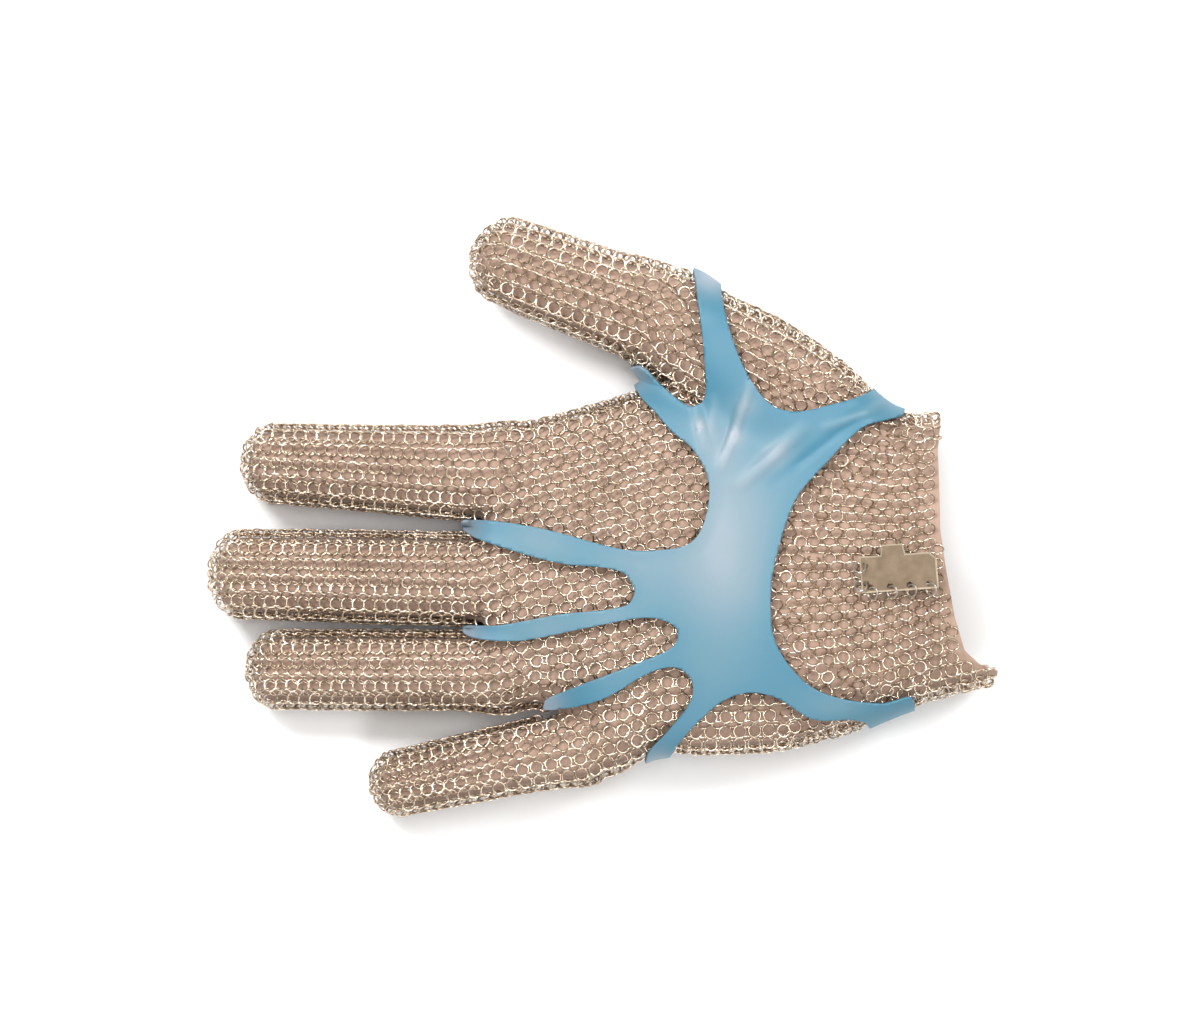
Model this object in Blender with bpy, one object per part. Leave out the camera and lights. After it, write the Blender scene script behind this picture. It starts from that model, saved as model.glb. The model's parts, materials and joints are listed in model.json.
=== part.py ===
"""Chain mail cut resistant glove with a liner, an elastic tensioner and a linked tag.

The glove lies palm down. Fingers point along -X, the thumb is on the +Y side and +Z is up.
The origin is under the middle of the glove, at the height of its flat underside.
Dimensions are in millimetres and become metres when a mesh is written.
"""

import math

import bpy
import bmesh
from mathutils import Matrix, Vector

MM = 0.001

# Layers, measured inwards or outwards from the outer surface of the mail
CLEARANCE = 0.35
MAIL_THICKNESS = 1.8
LINER_THICKNESS = 0.9
FILM_THICKNESS = 1.0

MAIL_OUTSIDE = 0.0
MAIL_INSIDE = -MAIL_THICKNESS
LINER_OUTSIDE = MAIL_INSIDE - CLEARANCE
LINER_INSIDE = LINER_OUTSIDE - LINER_THICKNESS
FILM_INSIDE = CLEARANCE
FILM_OUTSIDE = CLEARANCE + FILM_THICKNESS

PALM_UNDERSIDE = FILM_OUTSIDE
JOINT_GAP = 0.5
WELD = 0.002
RELIEF_ALLOWANCE = 2.0  # degrees added to each side of the relief cut under a joint

FINGER_SIDES = 14
PALM_SIDES = 22

# Palm and cuff: X of the section, Y of its two edges, height of its top
PALM_SECTIONS = [
    (-30.6, -53.5, 25.5, 28.5),
    (-12.3, -57.0, 30.5, 31.0),
    (-0.7, -64.0, 34.0, 32.5),
    (10.9, -69.0, 39.5, 34.0),
    (28.3, -69.0, 53.0, 35.0),
    (39.9, -68.2, 61.5, 35.5),
    (51.5, -67.0, 57.7, 36.0),
    (71.8, -61.0, 45.0, 36.5),
    (83.4, -56.3, 34.5, 36.5),
    (97.9, -51.3, 32.0, 36.0),
    (121.0, -47.0, 31.0, 35.5),
]
PALM_TOP_POWER = 2.4
PALM_BOTTOM_POWER = 3.2
PALM_BOTTOM_DEPTH = 1.15  # the sections reach this much deeper than half their height before the flat
FINGER_POWER = 2.2

# Edge of the cuff, from the thumb side round to the little finger side, where it runs into a tail
CUFF_EDGE = [
    (96.5, 45.0),
    (99.0, 31.5),
    (97.0, 20.0),
    (97.0, -3.0),
    (98.5, -14.0),
    (101.0, -28.0),
    (104.0, -38.0),
    (109.0, -42.5),
    (113.6, -43.3),
    (113.6, -75.0),
]
LINER_LIP = 1.7  # how far the liner shows past the mail at the cuff
BEYOND_CUFF = 140.0  # X that is clear of the glove behind the cuff

# Fingers: centre of the root joint, centre line point at the tip, distance from root to middle joint,
# half widths at root, middle joint and tip, half heights at the same three, and the bends of both joints
FINGERS = {
    "index": {
        "root": (-40.7, 13.4, 15.2),
        "tip": (-105.7, 15.9, 12.0),
        "middle": 26.0,
        "half_width": (14.3, 13.6, 12.0),
        "half_height": (12.6, 12.0, 10.6),
        "bend": (75.0, 80.0),
        "hinge": (0.04, -1.0, 0.0),
        "flare": 2.2,
    },
    "middle": {
        "root": (-40.7, -17.4, 15.2),
        "tip": (-115.3, -16.4, 12.0),
        "middle": 28.0,
        "half_width": (13.9, 13.9, 13.2),
        "half_height": (12.8, 12.4, 11.0),
        "bend": (75.0, 80.0),
        "hinge": (0.0, -1.0, 0.0),
        "flare": 2.2,
    },
    "ring": {
        "root": (-40.7, -44.0, 15.0),
        "tip": (-104.3, -43.4, 12.0),
        "middle": 26.0,
        "half_width": (11.9, 11.9, 11.4),
        "half_height": (12.2, 11.8, 10.4),
        "bend": (75.0, 80.0),
        "hinge": (0.0, -1.0, 0.0),
        "flare": 2.0,
    },
    "little": {
        "root": (-17.6, -68.0, 14.4),
        "tip": (-68.2, -78.2, 11.5),
        "middle": 22.0,
        "half_width": (11.2, 10.6, 9.8),
        "half_height": (11.4, 10.8, 9.6),
        "bend": (75.0, 75.0),
        "hinge": (-0.09, -1.0, 0.0),
        "flare": 1.6,
    },
    "thumb": {
        "root": (10.9, 60.4, 16.4),
        "tip": (-38.0, 78.2, 13.4),
        "middle": 22.0,
        "half_width": (14.0, 13.4, 12.4),
        "half_height": (13.4, 12.8, 11.4),
        "bend": (50.0, 60.0),
        "hinge": (-0.27, -0.65, 0.71),
        "flare": 1.5,
    },
}
STUB_STEP = 12.5  # the sleeve is this far behind the root joint when it reaches its flared size
STUB_END = 27.0
STUB_END_SCALE = 0.72
STUB_OPENING = 3.75  # the hollow of a stub starts this far beyond the root joint, so that it is open
TIP_ROUNDNESS = 0.95  # length of a rounded tip as a share of its half height
TIP_ANGLES = (30.0, 55.0, 75.0)

# Tensioner outline, seen from above: eight arms round a body on the back of the hand
TENSIONER_OUTLINE = [
    (-39.2, 0.2), (-39.2, -3.8), (-29.5, -8.4), (-12.3, -13.3), (5.1, -15.4), (8.9, -20.6),
    (6.5, -24.9), (-12.3, -27.8), (-30.0, -31.2), (-39.2, -31.6), (-39.2, -33.4), (-35.5, -35.1),
    (-23.6, -35.4), (-0.7, -30.7), (13.8, -28.7), (21.0, -31.6), (20.2, -36.5), (10.9, -41.5),
    (-12.3, -50.5), (-16.2, -52.6), (-16.2, -55.4), (-0.7, -52.5), (13.8, -44.4), (21.0, -42.9),
    (25.4, -46.7), (24.8, -52.5), (18.1, -61.2), (12.3, -68.4), (12.3, -80.0), (19.6, -80.0),
    (19.6, -69.0), (32.6, -54.0), (41.3, -50.2), (50.0, -51.6), (60.2, -57.7), (74.7, -58.3),
    (80.5, -64.0), (89.0, -64.0), (90.0, -51.0), (80.5, -53.4), (66.0, -51.0), (57.3, -45.5),
    (50.0, -35.1), (48.6, -23.5), (50.0, -11.9), (55.8, 5.5), (63.1, 14.2), (74.7, 25.8),
    (84.0, 27.3), (87.7, 29.0), (88.0, 44.0), (80.5, 44.0), (78.5, 33.5), (66.0, 32.2),
    (54.4, 30.7), (47.1, 34.5), (39.9, 46.1), (34.5, 63.8), (34.5, 78.0), (27.0, 78.0),
    (27.4, 66.0), (30.0, 45.8), (29.7, 34.5), (25.4, 32.2), (18.0, 37.5), (11.5, 43.6),
    (7.0, 43.6), (9.0, 37.0), (16.7, 34.5), (26.8, 20.0), (30.3, 11.3), (29.7, 1.2),
    (25.4, -6.1), (16.7, -8.1), (5.1, -7.5), (-18.1, -1.2),
]
PRISM_HEIGHT = 60.0

# Tag on the back of the cuff
TAG_CENTRE = Vector((84.9, -15.3, 38.1))
TAG_TURN = 4.0
TAG_THICKNESS = 0.6
TAG_RELIEF = 0.2
TAG_RIM = 0.8
TAG_OUTLINE = [
    (-11.0, -5.2), (11.0, -5.2), (11.0, 3.4), (9.0, 5.2), (2.2, 5.2), (1.6, 8.2),
    (-4.4, 8.2), (-5.0, 5.2), (-11.0, 5.2),
]
TAG_HOLE_RADIUS = 0.95
TAG_HOLE_INSET = 1.45
TAG_HOLE_SIDES = 10
TAG_HOLE_REACH = 2.0  # how far the cutting prism of a hole stands out above and below the plate
LOWER_HOLES = (-8.4, -2.8, 2.8, 8.4)
SIDE_HOLES = (-2.6, 2.6)

# Link rings of the tag
LINK_RADIUS = 1.75
LINK_WIRE = 0.5
LINK_ROUNDS = 14
LINK_SIDES = 6
LINK_LEAN = 50.0
LINK_LIFT = 0.55  # distance from the tag to the ring's centre, along the leaning ring


def new_object(name, mesh, material, origin=Vector((0.0, 0.0, 0.0))):
    """Link a mesh as a named object whose origin is at the given point."""
    mesh.name = name
    mesh.transform(Matrix.Translation(-origin * MM))
    mesh.materials.clear()
    mesh.materials.append(material)
    thing = bpy.data.objects.new(name, mesh)
    thing.location = origin * MM
    bpy.context.scene.collection.objects.link(thing)
    return thing


def principled(name, colour, roughness, metallic=0.0):
    """Plain Principled material for one sub-part."""
    material = bpy.data.materials.new(name)
    material.use_nodes = True
    shader = material.node_tree.nodes["Principled BSDF"]
    shader.inputs["Base Color"].default_value = (*colour, 1.0)
    shader.inputs["Roughness"].default_value = roughness
    shader.inputs["Metallic"].default_value = metallic
    material.diffuse_color = (*colour, 1.0)
    return material


def mesh_from(points, faces):
    """Mesh in metres from points in millimetres, with its faces turned outwards."""
    mesh = bpy.data.meshes.new("solid")
    mesh.from_pydata([point * MM for point in points], [], faces)
    work = bmesh.new()
    work.from_mesh(mesh)
    bmesh.ops.triangulate(work, faces=work.faces)
    bmesh.ops.recalc_face_normals(work, faces=work.faces)
    work.to_mesh(mesh)
    work.free()
    return mesh


def combine(first, second, operation):
    """Exact Boolean of two meshes, returned as a new mesh."""
    base = bpy.data.objects.new("base", first)
    tool = bpy.data.objects.new("tool", second)
    for thing in (base, tool):
        bpy.context.scene.collection.objects.link(thing)
    boolean = base.modifiers.new("combine", "BOOLEAN")
    boolean.object = tool
    boolean.operation = operation
    boolean.solver = "EXACT"
    depsgraph = bpy.context.evaluated_depsgraph_get()
    result = bpy.data.meshes.new_from_object(base.evaluated_get(depsgraph))
    for thing in (base, tool):
        bpy.data.objects.remove(thing)
    return welded(result)


def welded(mesh):
    """Mesh with points closer than the weld distance joined and slivers removed."""
    work = bmesh.new()
    work.from_mesh(mesh)
    bmesh.ops.remove_doubles(work, verts=work.verts, dist=WELD * MM)
    bmesh.ops.dissolve_degenerate(work, edges=work.edges, dist=WELD * MM)
    work.to_mesh(mesh)
    work.free()
    return mesh


def superellipse(angle, power):
    """Point on a unit superellipse at the given angle."""
    across = math.cos(angle)
    upward = math.sin(angle)
    exponent = 2.0 / power
    return (
        math.copysign(abs(across) ** exponent, across),
        math.copysign(abs(upward) ** exponent, upward),
    )


def loft(rings):
    """Closed mesh through rings of points, capped at both ends."""
    count = len(rings[0])
    points = [point for ring in rings for point in ring]
    faces = [list(range(count))[::-1]]
    for first in range(0, count * (len(rings) - 1), count):
        for i in range(count):
            j = (i + 1) % count
            faces.append([first + i, first + j, first + count + j, first + count + i])
    faces.append(list(range(count * (len(rings) - 1), count * len(rings))))
    return mesh_from(points, faces)


def sleeve_shell(outer, inner):
    """Tube between two lists of rings that start together; a shorter list ends in its own cap.

    Both ends are open when the lists are equally long, and a sleeve with a tip has capped far ends.
    """
    count = len(outer[0])
    points = [point for ring in outer + inner for point in ring]
    faces = []

    def wall(start, rings, flip):
        for first in range(start, start + count * (rings - 1), count):
            for i in range(count):
                j = (i + 1) % count
                face = [first + i, first + j, first + count + j, first + count + i]
                faces.append(face[::-1] if flip else face)

    inner_start = count * len(outer)
    wall(0, len(outer), False)
    wall(inner_start, len(inner), True)
    for i in range(count):
        j = (i + 1) % count
        faces.append([i, inner_start + i, inner_start + j, j])
    outer_last = count * (len(outer) - 1)
    inner_last = inner_start + count * (len(inner) - 1)
    return points, faces, outer_last, inner_last


def palm_ring(section, offset):
    """One cross section of the palm, grown by the offset and flattened underneath."""
    x, low, high, top = section
    middle = (low + high) / 2.0
    half_width = (high - low) / 2.0 + offset
    centre = (top + PALM_UNDERSIDE) / 2.0
    half_height = (top - PALM_UNDERSIDE) / 2.0 + offset
    floor = PALM_UNDERSIDE - offset
    ring = []
    for i in range(PALM_SIDES):
        angle = 2.0 * math.pi * i / PALM_SIDES
        power = PALM_TOP_POWER if math.sin(angle) >= 0.0 else PALM_BOTTOM_POWER
        across, upward = superellipse(angle, power)
        depth = 1.0 if upward >= 0.0 else PALM_BOTTOM_DEPTH
        height = max(centre + half_height * upward * depth, floor)
        ring.append(Vector((x, middle + half_width * across, height)))
    return ring


def palm_solid(offset):
    """Palm and cuff as one loft, its front face moved by the offset."""
    sections = list(PALM_SECTIONS)
    front = sections[0]
    sections[0] = (front[0] - offset, *front[1:])
    rear = sections[-1]
    sections[-1] = (rear[0] - offset, *rear[1:])
    return loft([palm_ring(section, offset) for section in sections])


class Finger:
    """Centre line, joints and cross sections of one finger."""

    def __init__(self, name):
        data = FINGERS[name]
        self.data = data
        self.root = Vector(data["root"])
        self.tip = Vector(data["tip"])
        self.length = (self.tip - self.root).length
        self.along = (self.tip - self.root).normalized()
        self.hinge = Vector(data["hinge"]).normalized()
        self.middle = data["middle"]
        self.middle_point = self.root + self.along * self.middle
        self.side = (self.hinge - self.along * self.hinge.dot(self.along)).normalized()
        self.up = self.along.cross(self.side).normalized()

    def sizes(self, distance):
        """Half width and half height of the sleeve at a distance from the root joint."""
        stations = (0.0, self.middle, self.length)
        result = []
        for key in ("half_width", "half_height"):
            values = self.data[key]
            if distance <= stations[1]:
                share = distance / stations[1]
                result.append(values[0] + (values[1] - values[0]) * share)
            else:
                share = (distance - stations[1]) / (stations[2] - stations[1])
                result.append(values[1] + (values[2] - values[1]) * share)
        return result

    def ring(self, distance, offset, scale=1.0, growth=0.0):
        """Flat cross section at a distance from the root joint."""
        half_width, half_height = self.sizes(distance)
        centre = self.root + self.along * distance
        ring = []
        for i in range(FINGER_SIDES):
            across, upward = superellipse(2.0 * math.pi * i / FINGER_SIDES, FINGER_POWER)
            wide = (half_width + growth + offset) * scale * across
            tall = (half_height + growth * 0.5 + offset) * scale * upward
            ring.append(centre + self.side * wide + self.up * tall)
        return ring

    def joint_ring(self, joint, facing, offset):
        """End section at a joint, cut back underneath so that the joint can bend.

        Facing is +1 for the section beyond the joint and -1 for the section before it.
        """
        distance = (0.0, self.middle)[joint]
        centre = self.root + self.along * distance
        forward = (self.along - self.hinge * self.along.dot(self.hinge)).normalized()
        upward = forward.cross(self.hinge).normalized()
        slope = math.tan(math.radians(self.data["bend"][joint] / 2.0 + RELIEF_ALLOWANCE))
        ring = []
        for point in self.ring(distance, offset):
            depth = max(0.0, -(point - centre).dot(upward))
            wanted = facing * (JOINT_GAP / 2.0 + depth * slope)
            drift = wanted - (point - centre).dot(forward)
            ring.append(point + self.along * (drift / self.along.dot(forward)))
        return ring

    def root_sleeve(self, outside, inside):
        """Open tube from the root joint to the middle joint."""
        outer = [self.joint_ring(0, 1, outside), self.joint_ring(1, -1, outside)]
        inner = [self.joint_ring(0, 1, inside), self.joint_ring(1, -1, inside)]
        points, faces, outer_last, inner_last = sleeve_shell(outer, inner)
        for i in range(FINGER_SIDES):
            j = (i + 1) % FINGER_SIDES
            faces.append([outer_last + j, inner_last + j, inner_last + i, outer_last + i])
        return mesh_from(points, faces)

    def tip_sleeve(self, outside, inside):
        """Tube from the middle joint to a closed, rounded tip."""
        outer = [self.joint_ring(1, 1, outside)] + self.tip_rings(outside)
        inner = [self.joint_ring(1, 1, inside)] + self.tip_rings(inside)
        points, faces, outer_last, inner_last = sleeve_shell(outer, inner)
        for last, end, flip in ((outer_last, outside, False), (inner_last, inside, True)):
            pole = len(points)
            points.append(self.root + self.along * (self.length + end))
            for i in range(FINGER_SIDES):
                j = (i + 1) % FINGER_SIDES
                faces.append([pole, last + j, last + i] if flip else [last + i, last + j, pole])
        return mesh_from(points, faces)

    def tip_rings(self, offset):
        """Sections from behind the relief cut to the end of the finger."""
        reach = self.data["half_height"][2] * TIP_ROUNDNESS
        shoulder = self.length - reach
        rings = [self.ring(shoulder, offset)]
        for angle in TIP_ANGLES:
            distance = shoulder + (reach + offset) * math.sin(math.radians(angle))
            scale = math.cos(math.radians(angle))
            rings.append(self.ring(min(distance, self.length), offset, scale))
        return rings

    def stub(self, offset, open_end):
        """Solid at the finger's root that merges with the palm."""
        flare = self.data["flare"]
        rings = [self.joint_ring(0, -1, offset)]
        if open_end:
            rings = [self.ring(STUB_OPENING, offset)]
        rings.append(self.ring(-STUB_STEP, offset, growth=flare))
        rings.append(self.ring(-STUB_END - offset, offset, STUB_END_SCALE))
        return loft(rings)


def hand_solid(offset, open_ends):
    """Palm, cuff and the roots of all fingers as one solid, grown by the offset."""
    solid = palm_solid(offset)
    for name in FINGERS:
        solid = combine(solid, Finger(name).stub(offset, open_ends), "UNION")
    return solid


def prism(outline, low, high):
    """Upright prism over an outline."""
    return loft([[Vector((x, y, z)) for x, y in outline] for z in (low, high)])


def hand_shell(outside, inside, lip):
    """Palm, back and cuff between two offsets, open at the fingers and at the wrist."""
    shell = combine(hand_solid(outside, False), hand_solid(inside, True), "DIFFERENCE")
    edge = [(x + lip, y) for x, y in CUFF_EDGE]
    beyond = edge + [(BEYOND_CUFF, edge[-1][1]), (BEYOND_CUFF, edge[0][1])]
    return combine(shell, prism(beyond, -PRISM_HEIGHT, PRISM_HEIGHT), "DIFFERENCE")


def tensioner_mesh():
    """Elastic film over the mail: the same star on the back and the palm, joined at its arms."""
    star = prism(TENSIONER_OUTLINE, -PRISM_HEIGHT, PRISM_HEIGHT)
    outer = combine(hand_solid(FILM_OUTSIDE, False), star, "INTERSECT")
    return combine(outer, hand_solid(FILM_INSIDE, False), "DIFFERENCE")


def tag_matrix():
    """Place of the tag in the glove."""
    return Matrix.Translation(TAG_CENTRE) @ Matrix.Rotation(math.radians(TAG_TURN), 4, "Z")


def tag_holes():
    """Centre of each hole and the direction from it to the nearest edge, in the tag's own frame."""
    lowest = min(y for _, y in TAG_OUTLINE)
    leftmost = min(x for x, _ in TAG_OUTLINE)
    holes = [(Vector((x, lowest + TAG_HOLE_INSET, 0.0)), Vector((0.0, -1.0, 0.0))) for x in LOWER_HOLES]
    holes += [(Vector((leftmost + TAG_HOLE_INSET, y, 0.0)), Vector((-1.0, 0.0, 0.0))) for y in SIDE_HOLES]
    return holes


def tag_mesh():
    """Thin plate with a raised rim and a hole for each link ring."""
    half = TAG_THICKNESS / 2.0
    plate = prism(TAG_OUTLINE, -half, half)
    work = bmesh.new()
    work.from_mesh(plate)
    top = [face for face in work.faces if face.normal.z > 0.9]
    bmesh.ops.inset_region(work, faces=top, thickness=TAG_RIM * MM)
    for vertex in {vertex for face in top for vertex in face.verts}:
        vertex.co.z -= TAG_RELIEF * MM
    work.to_mesh(plate)
    work.free()
    for centre, _ in tag_holes():
        circle = []
        for i in range(TAG_HOLE_SIDES):
            angle = 2.0 * math.pi * (i + 0.5) / TAG_HOLE_SIDES
            circle.append((centre.x + TAG_HOLE_RADIUS * math.cos(angle),
                           centre.y + TAG_HOLE_RADIUS * math.sin(angle)))
        plate = combine(plate, prism(circle, -TAG_HOLE_REACH, TAG_HOLE_REACH), "DIFFERENCE")
    plate.transform(Matrix.Scale(MM, 4) @ tag_matrix() @ Matrix.Scale(1.0 / MM, 4))
    return plate


def link_mesh(hole, outward):
    """Closed wire ring through one hole of the tag, leaning over."""
    edge = Vector((0.0, 0.0, 1.0)).cross(outward)
    lean = math.radians(LINK_LEAN)
    upward = Vector((0.0, 0.0, 1.0)) * math.cos(lean) + edge * math.sin(lean)
    half_chord = math.sqrt(LINK_RADIUS ** 2 - LINK_LIFT ** 2)
    centre = hole + outward * half_chord + upward * LINK_LIFT
    turn = tag_matrix()
    points, faces = [], []
    for i in range(LINK_ROUNDS):
        angle = 2.0 * math.pi * i / LINK_ROUNDS
        spoke = outward * math.cos(angle) + upward * math.sin(angle)
        across = outward.cross(upward)
        for j in range(LINK_SIDES):
            turned = 2.0 * math.pi * j / LINK_SIDES
            wire = (spoke * math.cos(turned) + across * math.sin(turned)) * LINK_WIRE / 2.0
            points.append(turn @ (centre + spoke * LINK_RADIUS + wire))
    for i in range(LINK_ROUNDS):
        for j in range(LINK_SIDES):
            this, following = i * LINK_SIDES, (i + 1) % LINK_ROUNDS * LINK_SIDES
            beside = (j + 1) % LINK_SIDES
            faces.append([this + j, following + j, following + beside, this + beside])
    return mesh_from(points, faces)


def build():
    """Build every piece of the glove."""
    for thing in list(bpy.data.objects):
        bpy.data.objects.remove(thing)
    steel = principled("mail_rings", (0.62, 0.60, 0.57), 0.3, 1.0)
    fabric = principled("liner_fabric", (0.55, 0.40, 0.34), 0.9)
    film = principled("tensioner_film", (0.10, 0.36, 0.58), 0.35)
    plate = principled("tag_steel", (0.66, 0.66, 0.65), 0.35, 1.0)
    link = principled("link_steel", (0.70, 0.69, 0.67), 0.25, 1.0)

    new_object("mail_hand", hand_shell(MAIL_OUTSIDE, MAIL_INSIDE, 0.0), steel)
    new_object("liner_hand", hand_shell(LINER_OUTSIDE, LINER_INSIDE, LINER_LIP), fabric)
    layers = (("mail", MAIL_OUTSIDE, MAIL_INSIDE, steel), ("liner", LINER_OUTSIDE, LINER_INSIDE, fabric))
    for name in FINGERS:
        finger = Finger(name)
        for layer, outside, inside, material in layers:
            root = finger.root_sleeve(outside, inside)
            new_object(f"{layer}_{name}_root", root, material, finger.root)
            tip = finger.tip_sleeve(outside, inside)
            new_object(f"{layer}_{name}_tip", tip, material, finger.middle_point)
    new_object("tensioner", tensioner_mesh(), film)
    new_object("tag_plate", tag_mesh(), plate)
    for number, (hole, outward) in enumerate(tag_holes(), start=1):
        new_object(f"tag_link_{number}", link_mesh(hole, outward), link)


build()
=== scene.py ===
"""Visual layer of the chain mail glove: linked wire rings, liner, blue tensioner and blank tag.

Shapes are worked out in millimetres in the frame's axes and become metres when a mesh is made.
"""

import math

import bmesh
import bpy
import numpy as np
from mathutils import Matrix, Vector
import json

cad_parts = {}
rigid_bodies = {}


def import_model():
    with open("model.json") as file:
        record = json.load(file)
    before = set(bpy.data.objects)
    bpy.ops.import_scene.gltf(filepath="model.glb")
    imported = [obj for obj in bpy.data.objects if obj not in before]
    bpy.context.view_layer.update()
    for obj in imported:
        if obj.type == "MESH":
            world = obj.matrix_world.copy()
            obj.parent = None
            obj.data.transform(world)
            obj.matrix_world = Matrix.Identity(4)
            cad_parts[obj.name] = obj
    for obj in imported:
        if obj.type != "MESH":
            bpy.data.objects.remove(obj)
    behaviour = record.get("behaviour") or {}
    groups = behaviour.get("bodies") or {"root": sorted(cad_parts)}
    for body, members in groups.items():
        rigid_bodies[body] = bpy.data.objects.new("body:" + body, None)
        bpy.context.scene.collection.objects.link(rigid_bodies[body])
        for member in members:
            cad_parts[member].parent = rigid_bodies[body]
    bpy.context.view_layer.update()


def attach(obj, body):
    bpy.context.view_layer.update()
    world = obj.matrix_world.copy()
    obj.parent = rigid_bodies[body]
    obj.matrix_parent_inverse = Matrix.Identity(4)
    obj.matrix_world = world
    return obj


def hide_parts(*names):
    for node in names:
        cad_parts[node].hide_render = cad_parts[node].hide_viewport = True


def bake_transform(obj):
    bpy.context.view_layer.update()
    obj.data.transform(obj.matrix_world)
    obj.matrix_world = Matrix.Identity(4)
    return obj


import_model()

MM = 0.001
SEED = 7

# Depth of each layer under the outer surface of the mail; the film lies on top of it
MAIL_LEVEL = -1.25
LINER_LEVEL = -2.65
FILM_LEVEL = 0.45
FILM_THICKNESS = 0.85
FILM_INSET = 0.4
LINER_VOXEL = 1.6
FILM_VOXEL = 0.95
RELAX_ROUNDS = 2
FLAT_UNDERSIDE = 1.35

# Palm and cuff: X of the section, its two edges in Y and its top. The underside is flat
PALM_SECTIONS = (
    (-36.0, -53.0, 26.0, 27.5),
    (-30.0, -53.5, 27.0, 28.5),
    (-12.3, -57.0, 31.0, 31.0),
    (-5.0, -65.0, 33.0, 32.0),
    (-0.7, -74.0, 34.0, 32.5),
    (5.0, -74.5, 36.0, 33.0),
    (10.9, -70.0, 38.0, 34.0),
    (18.0, -67.6, 39.0, 34.5),
    (28.3, -68.8, 40.0, 35.0),
    (51.5, -67.6, 39.0, 36.0),
    (71.8, -62.0, 34.5, 36.5),
    (83.4, -56.8, 29.5, 36.5),
    (97.9, -51.5, 31.0, 36.0),
    (121.0, -47.0, 31.0, 35.5),
)
PALM_FRONT = -36.0

# Ball of the thumb: X, two edges in Y, lowest and highest point
THENAR_SECTIONS = (
    (2.0, 47.0, 78.0, 3.0, 29.5),
    (10.9, 43.5, 75.5, 2.5, 30.0),
    (28.3, 33.0, 68.6, 1.4, 32.0),
    (51.5, 17.0, 58.3, 1.4, 33.5),
    (72.0, 6.0, 44.0, 1.4, 34.0),
    (80.0, 4.0, 34.0, 1.4, 33.5),
    (92.0, 4.0, 23.0, 1.4, 30.0),
)
THENAR_FRONT = 6.0
THENAR_REAR = 92.0
TOP_POWER = 2.4
BOTTOM_POWER = 3.2
BOTTOM_DEPTH = 1.15
FINGER_POWER = 2.2

# How softly the bodies end and run into each other
PALM_ROUNDING = 6.0
THENAR_ROUNDING = 9.0
UNDERSIDE_ROUNDING = 1.2
THENAR_JOIN = 8.0
THUMB_JOIN = 5.0
FINGER_JOIN = 4.0
LEAST_SLOPE = 0.012

# Step of a profile's table, and the steps over which it is smoothed
PROFILE_STEP = 0.5
SECTION_BLUR = 8
FINGER_BLUR = 6
THUMB_LINE_BLUR = 14

# Fingers: root joint, tip, distance to the middle joint, half widths and half heights at root,
# middle joint and tip, hinge axis, and the number of ring rows around the finger
FINGERS = {
    "index": ((-40.7, 13.4, 15.2), (-105.7, 16.8, 12.0), 26.0,
              (14.3, 13.0, 11.6), (12.6, 12.0, 10.6), (0.04, -1.0, 0.0), 30),
    "middle": ((-40.7, -17.4, 15.2), (-115.3, -15.8, 12.0), 28.0,
               (13.9, 13.9, 13.2), (12.8, 12.4, 11.0), (0.0, -1.0, 0.0), 32),
    "ring": ((-40.7, -44.0, 15.0), (-104.3, -43.8, 12.0), 26.0,
             (11.9, 12.1, 11.8), (12.2, 11.8, 10.4), (0.0, -1.0, 0.0), 30),
    "little": ((-17.6, -68.0, 14.4), (-68.2, -78.8, 11.5), 22.0,
               (11.2, 10.6, 9.8), (11.4, 10.8, 9.6), (-0.09, -1.0, 0.0), 28),
    "thumb": ((10.9, 60.6, 16.4), (-38.0, 78.8, 13.4), 22.0,
              (14.4, 14.0, 13.0), (13.4, 12.8, 11.4), (-0.27, -0.65, 0.71), 34),
}
LONG_FINGERS = tuple(FINGERS)[:-1]

# A finger starts as a thinner stub inside the palm and flares where it leaves it
STUB_START = -28.0
STUB_SCALE = 0.85
FLARE_AT = -12.5
FINGER_FLARE = 1.6
BACK_REACH = 14.0
TIP_ROUNDNESS = 0.95
CORE_RADIUS = 0.5
CORE_DEPTH = 4.0
OUTLINE_POINTS = 361

# A section of a finger follows the hand before BEND_START, and its own segment after BEND_END
BEND_START = -2.0
BEND_END = 12.0


def unit(vector):
    """Vector or rows of vectors scaled to length one."""
    vector = np.asarray(vector, dtype=float)
    return vector / np.maximum(np.linalg.norm(vector, axis=-1, keepdims=True), 1e-9)


def smoothstep(value):
    """Smooth rise from 0 to 1 as the value goes from 0 to 1."""
    value = np.clip(value, 0.0, 1.0)
    return value * value * (3.0 - 2.0 * value)


def smooth_min(a, b, width):
    """Smaller of two fields, rounded where they are closer than the width."""
    overlap = np.maximum(width - np.abs(a - b), 0.0) / width
    return np.minimum(a, b) - overlap * overlap * width * 0.25


def smooth_max(a, b, width):
    """Larger of two fields, rounded in the same way."""
    return -smooth_min(-a, -b, width)


def looked_up(value, table):
    """Second column of a table, read at a value of its first column."""
    return np.interp(value, *np.array(table).T)


def lengths_along(points):
    """Length of a line of points up to each of them."""
    return np.concatenate([[0.0], np.cumsum(np.linalg.norm(np.diff(points, axis=0), axis=1))])


def superellipse(wide, tall, count, top_power=FINGER_POWER, bottom_power=FINGER_POWER):
    """Closed outline with the given half sizes, from the thumb side over the back."""
    angles = np.linspace(0.0, 2.0 * math.pi, count)
    c, s = np.cos(angles), np.sin(angles)
    power = 2.0 / np.where(s >= 0.0, top_power, bottom_power)
    return np.stack([np.sign(c) * np.abs(c) ** power * wide,
                     np.sign(s) * np.abs(s) ** power * tall], 1)


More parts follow.
